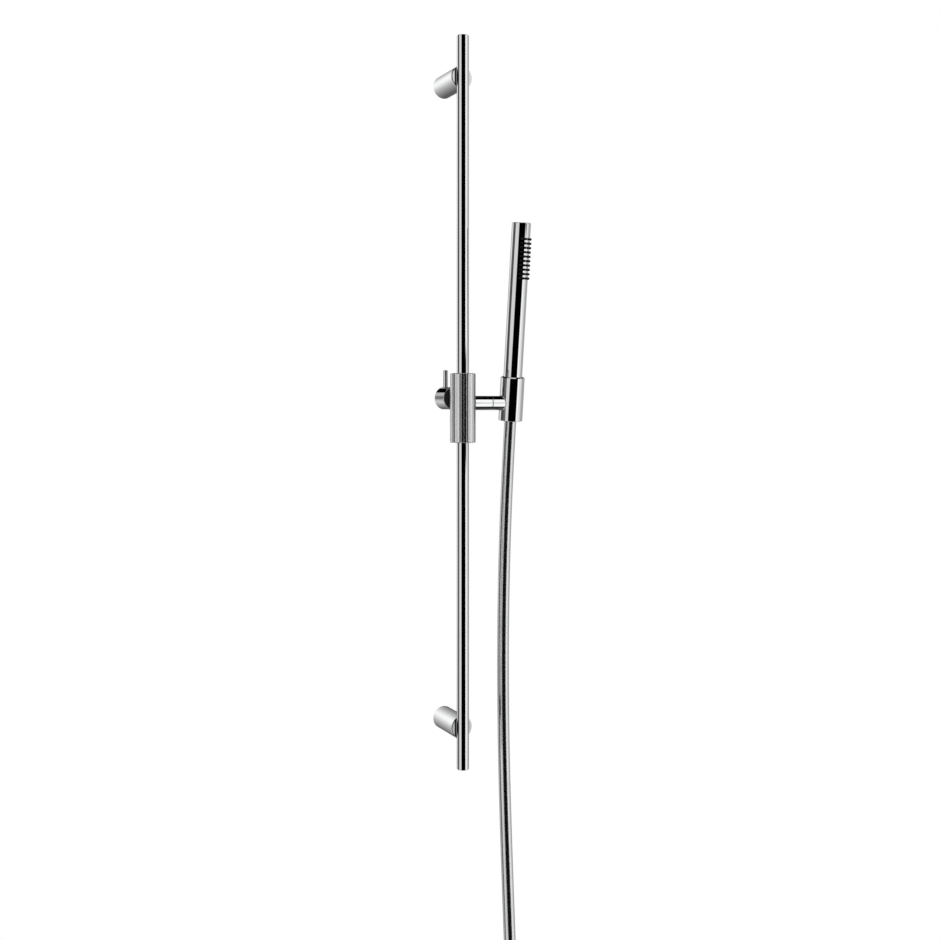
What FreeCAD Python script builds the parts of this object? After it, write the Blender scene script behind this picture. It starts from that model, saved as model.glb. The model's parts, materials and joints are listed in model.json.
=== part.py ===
import FreeCAD, Part
import math
import os

V = FreeCAD.Vector

# Shower slide rail, in millimetres. X runs right, Y into the wall and Z up.
# The origin lies on the wall, midway between the two posts.

# Rail
RAIL_DIA = 15.0
RAIL_LENGTH = 900.0
RAIL_WALL = 1.5
CAP_HEAD = 2.5
CAP_PLUG = 12.0
CAP_ROUND = 0.9
INSERT_LENGTH = 30.0

# Wall posts
RAIL_OVERHANG = 50.0
POST_DIA = 28.0
POST_LENGTH = 53.5
POST_BORE = 21.0
POST_FRONT = 12.0
POST_ROUND = 1.2
SADDLE_DEPTH = 4.5

# Wall spigots and the screws of the posts
SPIGOT_LENGTH = 26.0
SPIGOT_BASE = 6.0
SPIGOT_WELL = 12.5
WALL_HOLE = 6.6
GRUB_DIA = 5.0
GRUB_UP = 13.0
GRUB_BITE = 1.0
GRUB_SUNK = 0.6
GRUB_KEY = 2.5
RAIL_SCREW_DIA = 5.0
RAIL_SCREW_HEAD = 8.5
RAIL_SCREW_HEAD_HIGH = 5.0
RAIL_SCREW_PAST_AXIS = 3.0
SCREW_KEY = 4.0
SCREW_KEY_DEEP = 2.5

# Slider sleeve and its guide bushes
SLEEVE_DIA = 32.0
SLEEVE_LENGTH = 85.0
SLEEVE_BORE = 22.0
SLEEVE_ROUND = 1.0
SLEEVE_MID = -6.9
BUSH_DIA = 24.0
BUSH_LENGTH = 16.0
BUSH_RING_INSET = 1.6
BUSH_RING_THICK = 1.2
BUSH_RING_BITE = 0.9
BUSH_RING_IN = 2.0
BUSH_RING_SPLIT = 5.0

# Clamp: neck, knob, lever, spindle and brake shoe. Distances run out from the rail's axis.
CLAMP_ANGLE = 102.0
CLAMP_UP = 12.1
NECK_DIA = 13.4
NECK_STEM = 11.0
NECK_END = 20.0
NECK_TIP = 31.0
KNOB_DIA = 28.0
KNOB_NEAR = 20.45
KNOB_FAR = 39.8
KNOB_ROUND = 1.0
KNOB_THREAD_DEEP = 37.0
KNOB_RING_AT = 26.0
KNOB_RING_THICK = 1.0
KNOB_RING_BITE = 0.6
KNOB_WASHER_DIA = 25.4
KNOB_WASHER_THICK = 1.5
KNOB_WASHER_SUNK = 0.15
LEVER_DIA = 6.0
LEVER_AT = 35.2
LEVER_REACH = 35.0
LEVER_FOOT = 8.5
LEVER_ROUND = 0.8
SPINDLE_DIA = 8.0
SPINDLE_FLATS = 6.4
SPINDLE_END = 35.0
SHOE_HIGH = 18.0
SHOE_WIDE = 12.0
SHOE_BACK = 10.4
SHOE_SOCKET = 1.5

# Arm and tilting pivot. Distances run out from the rail's axis.
ARM_UP = 6.1
ARM_DIA = 17.7
ARM_REACH = 67.5
HOLDER_STUB = 29.9
ARM_SEAM_GAP = 0.4
ARM_EDGE = 0.7
ARM_SPIGOT = 10.0
ARM_SPIGOT_DEEP = 2.5
ARM_SCREW_DIA = 5.0
ARM_SCREW_HEAD = 8.5
ARM_SCREW_HEAD_HIGH = 2.2
ARM_SCREW_SPARE = 5.0
PIVOT_DIA = 7.0
PIVOT_HEAD = 10.5
PIVOT_HEAD_HIGH = 2.6
PIVOT_WEB = 6.0
PIVOT_BITE = 10.5
PIVOT_KEY = 4.0
WASHER_DIA = 13.0
WASHER_THICK = 1.6

# Holder, in its own tilted frame. Heights run from the arm's axis.
TILT = 6.8
CUP_DIA = 30.0
CUP_TOP = 33.0
CUP_BOTTOM = -22.0
CUP_BORE = 26.4
CUP_MOUTH = 24.2
CUP_LIP = 5.0
CUP_ROUND = 0.7
CUP_BEVEL = 1.2
STUB_ROUND = 1.2
SEAT_TOP_BORE = 24.0
SEAT_LOW_BORE = 17.2
SEAT_CONE_TOP = 6.0
SEAT_CONE_LOW = -15.5
SEAT_SPLIT = 1.6
SEAT_RING_THICK = 1.2
SEAT_RING_BITE = 0.7
SEAT_RING_IN = 1.9
SEAT_RING_INSET = 1.4
SEAT_RING_SPLIT = 5.0

# Hand shower, in the holder's frame
HANDSET_DIA = 23.4
HANDSET_WALL = 1.5
HANDSET_LOW = 6.0
HANDSET_TOP = 223.7
HANDSET_TURN = 14.0
HANDSET_CAP_HEAD = 2.2
HANDSET_CAP_PLUG = 9.0
HANDSET_CAP_ROUND = 1.0
CORE_WALL = 2.4
INLET_THREAD = 20.9
INLET_PLUG = 14.0
INLET_OUT = 10.0
INLET_BORE = 11.0

# Nozzles: rows along the tube, columns round it
NOZZLE_ROWS = 10
NOZZLE_COLUMNS = 4
NOZZLE_PITCH = 5.34
NOZZLE_STEP = 22.5
NOZZLE_FIRST = 19.9
NOZZLE_DIA = 3.0
NOZZLE_PROUD = 2.1
NOZZLE_TIP = 2.3
NOZZLE_WATER = 0.9
STRIP_MARGIN = 4.0
STRIP_SIDE = 15.0

# Hose and its upper end, in the holder's frame
HOSE_DIA = 15.0
HOSE_BORE = 9.0
FACE_WASHER = 2.0
INSERT_FLANGE = 2.0
INSERT_FLANGE_DIA = 18.6
INSERT_BARB = 16.0
FERRULE_DIA = 16.4
FERRULE_LENGTH = 9.0

# The hose leaves along the holder's axis for this far, then follows its route.
HOSE_STRAIGHT = 86.0

# Hose route below the holder: right of the rail, towards the wall, up
HOSE_ROUTE = [
    (67.5, 19.2, -204.0),
    (67.5, 22.4, -309.0),
    (67.5, 21.2, -414.0),
    (67.5, 16.2, -514.0),
    (67.5, 8.6, -618.0),
    (67.5, 3.0, -688.0),
    (67.5, 0.6, -735.0),
    (89.3, 0.2, -777.8),
    (128.1, 0.0, -806.0),
    (150.0, 0.1, -848.8),
    (150.0, 0.0, -888.8),
]

# Put away turns of the hose, hanging below the last point of the route
COIL_RADIUS = 82.5
COIL_TURNS = 2
COIL_PITCH = 15.5
COIL_ROUND = 7.0
TAIL_LENGTH = 70.0
TIE_HIGH = 14.0
TIE_WALL = 1.4
TIE_GAP = 0.6

# Lower end of the hose
END_NUT_DIA = 24.0
END_NUT_HIGH = 17.0
END_NUT_THREAD = 20.9
END_NUT_FLOOR = 3.0
END_NUT_ROUND = 0.8
END_FERRULE_DIA = 17.0
END_FERRULE_LENGTH = 14.0

# Clearances on the radius or along an axis
RUN = 0.05
SEATED = 0.02
LOOSE = 0.1
SHOE_GAP = 0.03

RAIL_R = RAIL_DIA / 2
POST_SPACING = RAIL_LENGTH - 2 * RAIL_OVERHANG
RAIL_OUT = POST_LENGTH - SADDLE_DEPTH + RAIL_R
ARM_Z = SLEEVE_MID + ARM_UP
ARM_SEAM = ARM_REACH - HOLDER_STUB
PIVOT_ROOT = ARM_SEAM - PIVOT_BITE
ARM_SCREW_END = PIVOT_ROOT - ARM_SCREW_SPARE
CLAMP_Z = SLEEVE_MID + CLAMP_UP

NOWHERE = FreeCAD.Placement()
RAIL_FRAME = FreeCAD.Placement(V(0, -RAIL_OUT, 0), FreeCAD.Rotation())
UPPER_POST_FRAME = FreeCAD.Placement(
    V(0, 0, POST_SPACING / 2), FreeCAD.Rotation(V(1, 0, 0), 90)
)
LOWER_POST_FRAME = FreeCAD.Placement(
    V(0, 0, -POST_SPACING / 2), FreeCAD.Rotation(V(1, 0, 0), 90)
)
CLAMP_TURN = FreeCAD.Rotation(V(0, 0, 1), CLAMP_ANGLE - 90)
CLAMP_FRAME = FreeCAD.Placement(
    V(0, -RAIL_OUT, CLAMP_Z), CLAMP_TURN.multiply(FreeCAD.Rotation(V(1, 0, 0), -90))
)
SHOE_FRAME = FreeCAD.Placement(V(0, -RAIL_OUT, CLAMP_Z), CLAMP_TURN)
ARM_FRAME = FreeCAD.Placement(
    V(0, -RAIL_OUT, ARM_Z), FreeCAD.Rotation(V(0, 1, 0), 90)
)
HOLDER_FRAME = FreeCAD.Placement(
    V(ARM_REACH, -RAIL_OUT, ARM_Z), FreeCAD.Rotation(V(1, 0, 0), TILT)
)
HANDSET_FRAME = HOLDER_FRAME.multiply(
    FreeCAD.Placement(V(0, 0, 0), FreeCAD.Rotation(V(0, 0, 1), HANDSET_TURN))
)


def rod(dia, low, high):
    """A plain round bar along Z."""
    return Part.makeCylinder(dia / 2, high - low, V(0, 0, low))


def pipe(dia, bore, low, high):
    """A plain round tube along Z."""
    return rod(dia, low, high).cut(rod(bore, low, high))


def turned(profile):
    """A turned piece: the closed (radius, height) outline swept round Z."""
    points = [V(r, 0, z) for r, z in profile]
    wire = Part.makePolygon(points + points[:1])
    return Part.Face(wire).revolve(V(0, 0, 0), V(0, 0, 1), 360)


def block(x, y, z):
    """A box given by its (low, high) pairs."""
    return Part.makeBox(x[1] - x[0], y[1] - y[0], z[1] - z[0], V(x[0], y[0], z[0]))


def rounded(shape, radius, size, heights):
    """Rounds the circular edges of one radius at the given heights on Z."""
    edges = [
        e
        for e in shape.Edges
        if isinstance(e.Curve, Part.Circle)
        and abs(e.Curve.Radius - radius) < 1e-6
        and any(abs(e.Curve.Center.z - h) < 1e-6 for h in heights)
        and abs(e.Curve.Axis.z) > 0.999
    ]
    return shape.makeFillet(size, edges)


def chamfered(shape, size, height):
    """Bevels the circular edges at one height on Z."""
    rims = [e for e in shape.Edges if isinstance(e.Curve, Part.Circle)]
    return shape.makeChamfer(size, [e for e in rims if abs(e.Curve.Center.z - height) < 1e-6])


def hexagon(across, low, high):
    """A six sided bar along Z, for key sockets and spanner flats."""
    r = across / math.sqrt(3)
    points = [V(r * math.cos(k * math.pi / 3), r * math.sin(k * math.pi / 3), low) for k in range(6)]
    face = Part.Face(Part.makePolygon(points + points[:1]))
    return face.extrude(V(0, 0, high - low))


def flatted(dia, across, low, high):
    """A round bar along Z with two flats facing X."""
    return rod(dia, low, high).common(block((-across / 2, across / 2), (-dia, dia), (low, high)))


def along_x(shape):
    """Turns a piece built along Z so that it runs along X."""
    return shape.rotated(V(0, 0, 0), V(0, 1, 0), 90)


def up_from_clamp(shape):
    """Turns a piece built along Z so that it stands straight up in the clamp's frame."""
    return shape.rotated(V(0, 0, 0), V(1, 0, 0), 90)


def split_ring(dia, bore, low, high, split):
    """A flat retaining ring along Z with a gap on its X side."""
    gap = block((0, dia), (-split / 2, split / 2), (low, high))
    return pipe(dia, bore, low, high).cut(gap)


def rail_tube():
    half = RAIL_LENGTH / 2 - CAP_HEAD
    tube = pipe(RAIL_DIA, RAIL_DIA - 2 * RAIL_WALL, -half, half)
    for z in (-POST_SPACING / 2, POST_SPACING / 2):
        hole = rod(RAIL_SCREW_DIA + 4 * LOOSE, 0, RAIL_DIA)
        hole = hole.rotated(V(0, 0, 0), V(1, 0, 0), -90)
        tube = tube.cut(hole.translated(V(0, 0, z)))
    return tube


def rail_cap():
    """A closed end with its plug in the tube, standing above z = 0."""
    plug = RAIL_R - RAIL_WALL - SEATED
    cap = turned(
        [(0, -CAP_PLUG), (plug - 0.6, -CAP_PLUG), (plug, 0.6 - CAP_PLUG), (plug, 0),
         (RAIL_R, 0), (RAIL_R, CAP_HEAD), (0, CAP_HEAD)]
    )
    return rounded(cap, RAIL_R, CAP_ROUND, [CAP_HEAD])


def rail_insert():
    """A threaded insert inside the rail, its cross hole along Y."""
    bar = rod(RAIL_DIA - 2 * RAIL_WALL - 2 * SEATED, -INSERT_LENGTH / 2, INSERT_LENGTH / 2)
    hole = rod(RAIL_SCREW_DIA + 2 * RUN, -RAIL_DIA, RAIL_DIA)
    return bar.cut(hole.rotated(V(0, 0, 0), V(1, 0, 0), 90))


def post():
    """A wall post along Z from the wall: open at the wall, with the rail's saddle in its front."""
    body = rounded(rod(POST_DIA, 0, POST_LENGTH), POST_DIA / 2, POST_ROUND, [POST_LENGTH])
    body = body.cut(rod(POST_BORE, 0, POST_LENGTH - POST_FRONT))
    body = body.cut(rod(RAIL_SCREW_DIA + 4 * LOOSE, 0, POST_LENGTH))
    saddle = rod(RAIL_DIA + 2 * SEATED, -POST_DIA, POST_DIA)
    saddle = saddle.rotated(V(0, 0, 0), V(1, 0, 0), 90).translated(V(0, 0, RAIL_OUT))
    body = body.cut(saddle)
    grub = along_x(rod(GRUB_DIA + 2 * RUN, 0, POST_DIA)).translated(V(0, 0, GRUB_UP))
    return body.cut(grub)


def spigot():
    """A wall spigot along Z from the wall, with a screw hole in its base and a groove for the grub."""
    r = POST_BORE / 2 - RUN
    groove = GRUB_BITE + GRUB_DIA / 2
    return turned(
        [(WALL_HOLE / 2, 0), (r, 0), (r, GRUB_UP - groove), (r - GRUB_BITE, GRUB_UP - GRUB_DIA / 2),
         (r - GRUB_BITE, GRUB_UP + GRUB_DIA / 2), (r, GRUB_UP + groove), (r, SPIGOT_LENGTH - 1),
         (r - 1, SPIGOT_LENGTH), (SPIGOT_WELL / 2, SPIGOT_LENGTH), (SPIGOT_WELL / 2, SPIGOT_BASE),
         (WALL_HOLE / 2, SPIGOT_BASE)]
    )


def grub_screw():
    """The grub screw of a post, along X from the spigot's groove outwards."""
    start = POST_BORE / 2 - RUN - GRUB_BITE + SEATED
    end = POST_DIA / 2 - GRUB_SUNK
    screw = rod(GRUB_DIA, start, end).cut(hexagon(GRUB_KEY, end - GRUB_KEY, end))
    return along_x(screw).translated(V(0, 0, GRUB_UP))


def rail_screw():
    """A cap screw along Z: its head in the post, its tip in the rail's insert."""
    seat = POST_LENGTH - POST_FRONT
    low = seat - RAIL_SCREW_HEAD_HIGH
    screw = rod(RAIL_SCREW_HEAD, low, seat).fuse(rod(RAIL_SCREW_DIA, seat, RAIL_OUT + RAIL_SCREW_PAST_AXIS))
    return screw.removeSplitter().cut(hexagon(SCREW_KEY, low, low + SCREW_KEY_DEEP))


def bush_room():
    """How far the bush's counterbore reaches in from the sleeve's end."""
    return BUSH_RING_INSET + BUSH_RING_THICK + 2 * LOOSE + BUSH_LENGTH + LOOSE


def slider_sleeve():
    """The slider's sleeve along Z about its middle, with its bush seats and side holes."""
    half = SLEEVE_LENGTH / 2
    r = SLEEVE_DIA / 2
    sleeve = rounded(rod(SLEEVE_DIA, -half, half), r, SLEEVE_ROUND, [-half, half])
    sleeve = sleeve.cut(rod(SLEEVE_BORE, -half, half))
    seat = BUSH_DIA + 2 * RUN
    groove = seat + 2 * BUSH_RING_BITE + 2 * RUN
    low = half - BUSH_RING_INSET - BUSH_RING_THICK - LOOSE
    for way in (1, -1):
        room = rod(seat, half - bush_room(), half).fuse(rod(groove, low, half - BUSH_RING_INSET + LOOSE))
        sleeve = sleeve.cut(room if way > 0 else room.mirror(V(0, 0, 0), V(0, 0, 1)))
    stem = rod(NECK_STEM + 2 * SEATED, 0, SLEEVE_DIA).rotated(V(0, 0, 0), V(1, 0, 0), -90)
    stem = stem.rotated(V(0, 0, 0), V(0, 0, 1), CLAMP_ANGLE - 90).translated(V(0, 0, CLAMP_UP))
    sleeve = sleeve.cut(stem)
    arm = rod(ARM_SCREW_DIA + 4 * LOOSE, 0, SLEEVE_DIA)
    arm = arm.fuse(rod(ARM_SPIGOT + 2 * SEATED, r - ARM_SPIGOT_DEEP, SLEEVE_DIA))
    return sleeve.cut(along_x(arm).translated(V(0, 0, ARM_UP)))


def bush():
    """A guide bush along Z, its outer end at z = 0."""
    r_in = RAIL_R + RUN
    r_out = BUSH_DIA / 2
    return turned(
        [(r_in + 0.8, 0), (r_out - 0.6, 0), (r_out, -0.6), (r_out, 0.6 - BUSH_LENGTH),
         (r_out - 0.6, -BUSH_LENGTH), (r_in + 0.8, -BUSH_LENGTH), (r_in, 0.8 - BUSH_LENGTH), (r_in, -0.8)]
    )


def bush_ring():
    """A retaining ring along Z, its outer face at z = 0."""
    outer = BUSH_DIA + 2 * RUN + 2 * BUSH_RING_BITE
    inner = BUSH_DIA - 2 * BUSH_RING_IN
    return split_ring(outer, inner, -BUSH_RING_THICK, 0, BUSH_RING_SPLIT)


def clamp_neck():
    """The knob's neck along Z out of the sleeve: stem in the wall, collar, and the knob's bearing."""
    inner = SLEEVE_BORE / 2 + 0.4
    neck = rod(NECK_DIA, inner, NECK_END)
    sleeve = rod(SLEEVE_DIA, -NECK_DIA, NECK_DIA).rotated(V(0, 0, 0), V(1, 0, 0), 90)
    neck = neck.cut(sleeve).fuse(rod(NECK_STEM, inner, NECK_TIP)).removeSplitter()
    neck = neck.cut(flatted(SPINDLE_DIA + 2 * RUN, SPINDLE_FLATS + 2 * RUN, 0, NECK_TIP))
    groove_low = KNOB_RING_AT - KNOB_RING_THICK / 2 - RUN
    groove_high = KNOB_RING_AT + KNOB_RING_THICK / 2 + RUN
    return neck.cut(pipe(NECK_STEM + 2, NECK_STEM - 2 * KNOB_RING_BITE - 2 * RUN, groove_low, groove_high))


def knob_ring():
    """The ring in the neck's groove that keeps the knob on."""
    outer = NECK_STEM + 2 * RUN + 2 * KNOB_RING_BITE
    inner = NECK_STEM - 2 * KNOB_RING_BITE
    low = KNOB_RING_AT - KNOB_RING_THICK / 2
    return split_ring(outer, inner, low, low + KNOB_RING_THICK, 3.0)


def knob_washer():
    """The sliding washer in the knob's inner face: a low boss bears on the neck's collar."""
    outer = KNOB_WASHER_DIA / 2
    boss = NECK_DIA / 2
    bore = NECK_STEM / 2 + LOOSE
    face = KNOB_NEAR + KNOB_WASHER_SUNK
    high = KNOB_NEAR + KNOB_WASHER_THICK
    low = NECK_END + SEATED
    return turned([(bore, low), (boss, low), (boss, face), (outer, face), (outer, high), (bore, high)])


def clamp_knob():
    """The clamp knob along Z: it turns on the neck and draws the spindle by its thread."""
    r = KNOB_DIA / 2
    knob = rounded(rod(KNOB_DIA, KNOB_NEAR, KNOB_FAR), r, KNOB_ROUND, [KNOB_NEAR, KNOB_FAR])
    bore = NECK_STEM + 2 * RUN
    knob = knob.cut(rod(bore, KNOB_NEAR, NECK_TIP + 3 * LOOSE))
    knob = knob.cut(rod(SPINDLE_DIA + 2 * RUN, KNOB_NEAR, KNOB_THREAD_DEEP))
    knob = knob.cut(rod(KNOB_WASHER_DIA + 2 * SEATED, KNOB_NEAR, KNOB_NEAR + KNOB_WASHER_THICK + SEATED))
    low = KNOB_RING_AT - KNOB_RING_THICK / 2 - LOOSE
    high = KNOB_RING_AT + KNOB_RING_THICK / 2 + LOOSE
    knob = knob.cut(rod(bore + 2 * KNOB_RING_BITE + 2 * LOOSE, low, high))
    socket = up_from_clamp(rod(LEVER_DIA + 2 * SEATED, LEVER_FOOT - SEATED, KNOB_DIA))
    return knob.cut(socket.translated(V(0, 0, LEVER_AT)))


def clamp_lever():
    """The lever pin, standing up from the knob with a rounded end."""
    pin = rod(LEVER_DIA, LEVER_FOOT, LEVER_REACH)
    pin = rounded(pin, LEVER_DIA / 2, LEVER_ROUND, [LEVER_REACH])
    return up_from_clamp(pin).translated(V(0, 0, LEVER_AT))


def clamp_spindle():
    """The flatted spindle along Z, from the shoe's socket into the knob's thread."""
    return flatted(SPINDLE_DIA, SPINDLE_FLATS, SHOE_BACK - SHOE_SOCKET, SPINDLE_END)


def brake_shoe():
    """The brake shoe in front of the spindle: hollowed to the rail, facing it along Y."""
    half = SHOE_HIGH / 2
    shoe = pipe(2 * SHOE_BACK, RAIL_DIA + 2 * SHOE_GAP, -half, half)
    shoe = shoe.common(block((-SHOE_WIDE / 2, SHOE_WIDE / 2), (0, 2 * SHOE_BACK), (-half, half)))
    floor = SHOE_BACK - SHOE_SOCKET - SEATED
    socket = flatted(SPINDLE_DIA + 2 * SEATED, SPINDLE_FLATS + 2 * SEATED, floor, 2 * SHOE_BACK)
    return shoe.cut(socket.rotated(V(0, 0, 0), V(1, 0, 0), -90))


def washer_well():
    """How deep the pivot's washer sits in each of the two faces at the seam."""
    return (WASHER_THICK - ARM_SEAM_GAP) / 2


def arm_stub():
    """The arm along Z out of the sleeve, saddled on it, up to the tilting seam."""
    inner = SLEEVE_DIA / 2 - ARM_SPIGOT_DEEP
    arm = rod(ARM_DIA, inner, ARM_SEAM)
    arm = chamfered(arm, ARM_EDGE, ARM_SEAM)
    sleeve = rod(SLEEVE_DIA, -ARM_DIA, ARM_DIA).rotated(V(0, 0, 0), V(0, 1, 0), 90)
    arm = arm.cut(sleeve).fuse(rod(ARM_SPIGOT, inner + SEATED, SLEEVE_DIA / 2 + 2)).removeSplitter()
    arm = arm.cut(rod(ARM_SCREW_DIA + 2 * RUN, inner, ARM_SCREW_END + 1))
    arm = arm.cut(rod(WASHER_DIA + 2 * RUN, ARM_SEAM - washer_well(), ARM_SEAM))
    return arm.cut(rod(PIVOT_DIA - 1 + 2 * RUN, PIVOT_ROOT, ARM_SEAM))


def arm_screw():
    """The low head screw that holds the arm, its head inside the sleeve's bore."""
    seat = SLEEVE_BORE / 2
    head = rod(ARM_SCREW_HEAD, seat - ARM_SCREW_HEAD_HIGH, seat)
    bore = rod(SLEEVE_BORE - 2 * SEATED, -ARM_DIA, ARM_DIA).rotated(V(0, 0, 0), V(0, 1, 0), 90)
    screw = head.fuse(rod(ARM_SCREW_DIA, seat - 1, ARM_SCREW_END)).removeSplitter()
    tip = rod(ARM_SCREW_DIA, seat - 1, ARM_SCREW_END)
    screw = screw.common(bore).fuse(tip).removeSplitter()
    return screw.cut(hexagon(PIVOT_KEY - 1, 0, seat - ARM_SCREW_HEAD_HIGH + 1.4))


def pivot_seat():
    """Where the pivot's head bears inside the holder's stub."""
    return ARM_SEAM + ARM_SEAM_GAP + PIVOT_WEB


def pivot_screw():
    """The shoulder screw of the tilting pivot along Z, from the arm into the holder's stub."""
    head_low = pivot_seat() + RUN
    shoulder = ARM_SEAM - washer_well()
    screw = rod(PIVOT_HEAD, head_low, head_low + PIVOT_HEAD_HIGH)
    screw = screw.fuse(rod(PIVOT_DIA, shoulder, head_low))
    screw = screw.fuse(rod(PIVOT_DIA - 1, PIVOT_ROOT + 0.5, shoulder))
    top = head_low + PIVOT_HEAD_HIGH
    return screw.removeSplitter().cut(hexagon(PIVOT_KEY, top - 1.8, top))


def pivot_washer():
    """The friction washer between the arm and the holder's stub."""
    low = ARM_SEAM - washer_well() + SEATED
    return pipe(WASHER_DIA, PIVOT_DIA + 2 * RUN, low, low + WASHER_THICK - 3 * SEATED)


def meets_stub(edge):
    """Whether an edge of the holder lies where the stub's round meets the cup's."""
    ends = [v.Point for v in edge.Vertexes] + [edge.valueAt((edge.FirstParameter + edge.LastParameter) / 2)]
    on_cup = all(abs(math.hypot(q.x, q.y) - CUP_DIA / 2) < 1e-3 for q in ends)
    return on_cup and all(abs(math.hypot(q.y, q.z) - ARM_DIA / 2) < 1e-3 for q in ends)


def holder_cup():
    """The holder about its own axis on Z: round cup with a stub towards the arm's seam."""
    r = CUP_DIA / 2
    cup = rod(CUP_DIA, CUP_BOTTOM, CUP_TOP)
    stub = rod(ARM_DIA, ARM_SEAM + ARM_SEAM_GAP, ARM_REACH)
    stub = along_x(chamfered(stub, ARM_EDGE, ARM_SEAM + ARM_SEAM_GAP)).translated(V(-ARM_REACH, 0, 0))
    cup = chamfered(rounded(cup, r, CUP_ROUND, [CUP_BOTTOM]), CUP_BEVEL, CUP_TOP)
    cup = cup.fuse(stub).removeSplitter()
    cup = cup.makeFillet(STUB_ROUND, [e for e in cup.Edges if meets_stub(e)])
    cup = cup.cut(rod(CUP_BORE, CUP_BOTTOM, CUP_TOP - CUP_LIP)).cut(rod(CUP_MOUTH, CUP_BOTTOM, CUP_TOP))
    low = CUP_BOTTOM + SEAT_RING_INSET - LOOSE
    cup = cup.cut(rod(CUP_BORE + 2 * SEAT_RING_BITE, low, low + SEAT_RING_THICK + 2 * LOOSE))
    well = rod(WASHER_DIA + 2 * RUN, ARM_SEAM, ARM_SEAM + ARM_SEAM_GAP + washer_well())
    well = well.fuse(rod(PIVOT_DIA + 2 * RUN, ARM_SEAM, ARM_REACH))
    well = well.fuse(rod(PIVOT_HEAD + 4 * LOOSE, pivot_seat(), ARM_REACH))
    return cup.cut(along_x(well).translated(V(-ARM_REACH, 0, 0)))


def holder_seat():
    """The split plastic seat in the cup: a straight mouth above a cone for the hose nut."""
    r = CUP_BORE / 2 - RUN
    low = CUP_BOTTOM + SEAT_RING_INSET + SEAT_RING_THICK + LOOSE
    high = CUP_TOP - CUP_LIP - LOOSE
    seat = turned(
        [(SEAT_LOW_BORE / 2, low), (r, low), (r, high), (SEAT_TOP_BORE / 2, high),
         (SEAT_TOP_BORE / 2, SEAT_CONE_TOP), (SEAT_LOW_BORE / 2 + 0.6, SEAT_CONE_LOW),
         (SEAT_LOW_BORE / 2, SEAT_CONE_LOW)]
    )
    return seat.cut(block((0, CUP_DIA), (-SEAT_SPLIT / 2, SEAT_SPLIT / 2), (CUP_BOTTOM, CUP_TOP)))


def seat_ring():
    """The retaining ring under the seat."""
    low = CUP_BOTTOM + SEAT_RING_INSET
    outer = CUP_BORE + 2 * SEAT_RING_BITE - 2 * RUN
    ring = split_ring(outer, CUP_BORE - 2 * SEAT_RING_IN, low, low + SEAT_RING_THICK, SEAT_RING_SPLIT)
    return ring.rotated(V(0, 0, 0), V(0, 0, 1), 90)


def nozzle_places():
    """The (height, angle) of every nozzle, rows first."""
    first = HANDSET_TOP - NOZZLE_FIRST
    spread = (NOZZLE_COLUMNS - 1) * NOZZLE_STEP / 2
    return [
        (first - row * NOZZLE_PITCH, -90 - spread + column * NOZZLE_STEP)
        for row in range(NOZZLE_ROWS)
        for column in range(NOZZLE_COLUMNS)
    ]


def spoke(shape, angle, height):
    """Puts a piece built along Z on a spoke of the hand shower, at this angle and height."""
    return along_x(shape).rotated(V(0, 0, 0), V(0, 0, 1), angle).translated(V(0, 0, height))


def handset_bore():
    return HANDSET_DIA - 2 * HANDSET_WALL


def handset_tube():
    """The hand shower's tube along Z, pierced for its nozzles."""
    high = HANDSET_TOP - HANDSET_CAP_HEAD
    tube = pipe(HANDSET_DIA, handset_bore(), HANDSET_LOW, high)
    holes = [spoke(rod(NOZZLE_DIA + 2 * LOOSE, 0, HANDSET_DIA), a, z) for z, a in nozzle_places()]
    return tube.cut(Part.makeCompound(holes))


def handset_cap():
    """The closed top of the hand shower with its plug."""
    plug = handset_bore() / 2 - SEATED
    low = HANDSET_TOP - HANDSET_CAP_HEAD
    cap = turned(
        [(0, low - 2.5), (plug - 1.6, low - 2.5), (plug - 1.6, low - HANDSET_CAP_PLUG),
         (plug, low - HANDSET_CAP_PLUG), (plug, low), (HANDSET_DIA / 2, low),
         (HANDSET_DIA / 2, HANDSET_TOP), (0, HANDSET_TOP)]
    )
    return rounded(cap, HANDSET_DIA / 2, HANDSET_CAP_ROUND, [HANDSET_TOP])


def strip_ends():
    """The low and high ends of the nozzle strip."""
    high = HANDSET_TOP - NOZZLE_FIRST + STRIP_MARGIN
    low = HANDSET_TOP - NOZZLE_FIRST - (NOZZLE_ROWS - 1) * NOZZLE_PITCH - STRIP_MARGIN
    return low, high


def strip_sector(r_in, r_out, low, high, grow):
    """A curved plate round Z, centred on the spray side, wide enough for the columns of nozzles."""
    angle = (NOZZLE_COLUMNS - 1) * NOZZLE_STEP + 2 * STRIP_SIDE + grow
    points = [V(r_in, 0, low), V(r_out, 0, low), V(r_out, 0, high), V(r_in, 0, high)]
    face = Part.Face(Part.makePolygon(points + points[:1]))
    plate = face.revolve(V(0, 0, 0), V(0, 0, 1), angle)
    return plate.rotated(V(0, 0, 0), V(0, 0, 1), -90 - angle / 2)


def nozzle_strip():
    """The soft strip behind the tube wall, with one nozzle through each hole."""
    low, high = strip_ends()
    outer = handset_bore() / 2 - SEATED
    strip = strip_sector(outer - CORE_WALL, outer, low, high, 0)
    tip = HANDSET_DIA / 2 + NOZZLE_PROUD
    nub = turned(
        [(0, outer - 1.0), (NOZZLE_DIA / 2, outer - 1.0), (NOZZLE_DIA / 2, tip - 0.7),
         (NOZZLE_TIP / 2, tip), (0, tip)]
    )
    nubs = [spoke(nub, a, z) for z, a in nozzle_places()]
    jets = [spoke(rod(NOZZLE_WATER, 0, 2 * tip), a, z) for z, a in nozzle_places()]
    return strip.multiFuse(nubs).removeSplitter().cut(Part.makeCompound(jets))


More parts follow.
